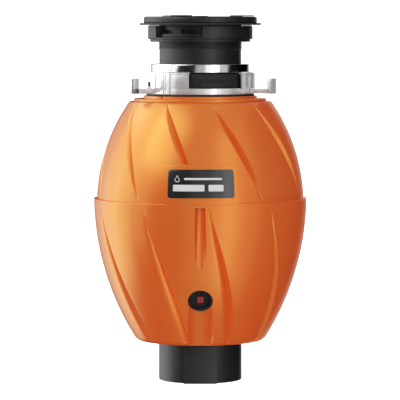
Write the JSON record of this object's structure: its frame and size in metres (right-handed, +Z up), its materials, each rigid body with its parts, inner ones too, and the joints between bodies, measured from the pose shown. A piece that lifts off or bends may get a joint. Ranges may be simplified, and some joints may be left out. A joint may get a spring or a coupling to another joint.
{
  "type": "kitchen garbage disposal",
  "caption": "Under-sink food-waste disposer: barrel body with leaf grooves, threaded sink sleeve, bayonet mounting ring, rear outlet and spinning grind turntable.",
  "frame": {"origin": "centre of the flat underside of the base cup, on the axis of the body", "axes": "+Z up along the axis of the body, +Y backwards along the discharge outlet, front with the label and reset button facing -Y"},
  "size_m": [0.2128, 0.2564, 0.3648],
  "materials": {
    "orange_shell": "moulded orange plastic, satin gloss",
    "black_plastic": "moulded black plastic with a soft sheen",
    "label_black": "gloss black label plate with plain pale marks",
    "red_button": "red moulded button",
    "chrome_ring": "bright plated steel",
    "stainless": "brushed stainless steel",
    "motor_steel": "dull plated steel",
    "cast_alloy": "die-cast aluminium",
    "copper": "copper",
    "ferrite": "dark sintered ferrite",
    "rubber_black": "black rubber",
    "grey_foam": "grey sound-damping foam",
    "fibre": "vulcanised fibre",
    "white_plastic": "white moulded nylon"
  },
  "bodies": {
    "housing": {"lower_shell": "orange_shell", "upper_shell": "orange_shell", "label_plate": "label_black", "shell_screws": "motor_steel", "acoustic_liner": "grey_foam", "base_cup": "black_plastic", "terminal_cover": "black_plastic", "terminal_block": "white_plastic", "terminal_screws": "copper", "rectifier": "black_plastic", "reset_housing": "black_plastic", "overload_switch": "black_plastic", "motor_can": "motor_steel", "lower_bearing": "motor_steel", "upper_bearing": "motor_steel", "magnets": "ferrite", "brush_plate": "white_plastic", "brush_holders": "copper", "carbon_brushes": "ferrite", "brush_springs": "stainless", "through_bolts": "motor_steel", "drain_chamber": "cast_alloy", "shaft_seal": "rubber_black", "discharge_gasket": "rubber_black", "discharge_spigot": "black_plastic", "discharge_screws": "stainless", "discharge_lugs": "cast_alloy", "chamber_gasket": "rubber_black", "hopper": "stainless", "dishwasher_inlet": "black_plastic", "inlet_grommet": "rubber_black", "shredder_ring": "stainless", "neck_gasket": "rubber_black", "cushion_mount": "rubber_black", "clamp_band": "chrome_ring", "snap_ring": "stainless", "sink_flange": "black_plastic", "splash_guard": "rubber_black", "deck_gasket": "rubber_black"},
    "rotor": {"motor_shaft": "stainless", "rotor_core": "motor_steel", "rotor_windings": "copper", "commutator": "copper", "turntable": "stainless", "impeller_rivets": "stainless", "table_nut": "stainless"},
    "swing_impeller_a": {"impeller_a": "stainless"},
    "swing_impeller_b": {"impeller_b": "stainless"},
    "reset": {"reset_button": "red_button"},
    "twist_ring": {"mounting_ring": "chrome_ring", "mounting_ears": "chrome_ring"},
    "nut_carriage": {"friction_washer": "fibre"},
    "nut": {"support_nut": "black_plastic"},
    "stopper": {"throat_stopper": "black_plastic", "stopper_seal": "rubber_black"}
  },
  "joints": [
    {"name": "turntable_spin", "type": "hinge", "parent": "housing", "child": "rotor", "pos_m": [0, 0, 0.2], "axis": [0, 0, 1], "continuous": true},
    {"name": "impeller_a_swing", "type": "hinge", "parent": "rotor", "child": "swing_impeller_a", "pos_m": [0, -0.034, 0.205], "axis": [0, 0, 1], "continuous": true},
    {"name": "impeller_b_swing", "type": "hinge", "parent": "rotor", "child": "swing_impeller_b", "pos_m": [0, 0.034, 0.205], "axis": [0, 0, 1], "continuous": true},
    {"name": "reset_press", "type": "slide", "parent": "housing", "child": "reset", "axis": [0, 0.9219, 0.3875], "range_m": [0, 0.002], "stiffness_N_per_m": 600, "springref_m": -0.0005},
    {"name": "ring_twist", "type": "hinge", "parent": "housing", "child": "twist_ring", "pos_m": [0, 0, 0.297], "axis": [0, 0, 1], "range_deg": [-21, 12]},
    {"name": "nut_travel", "type": "slide", "parent": "housing", "child": "nut_carriage", "axis": [0, 0, 1], "range_m": [-0.00801, 0]},
    {"name": "nut_turn", "type": "hinge", "parent": "nut_carriage", "child": "nut", "pos_m": [0, 0, 0.346], "axis": [0, 0, 1], "range_deg": [-1371, 0]},
    {"name": "stopper_lift", "type": "slide", "parent": "housing", "child": "stopper", "axis": [0, 0, 1], "range_m": [0, 0.08]}
  ],
  "couplings": [
    {"joint": "nut_travel", "follows": "nut_turn", "m_per_rad": 0.00033423}
  ]
}
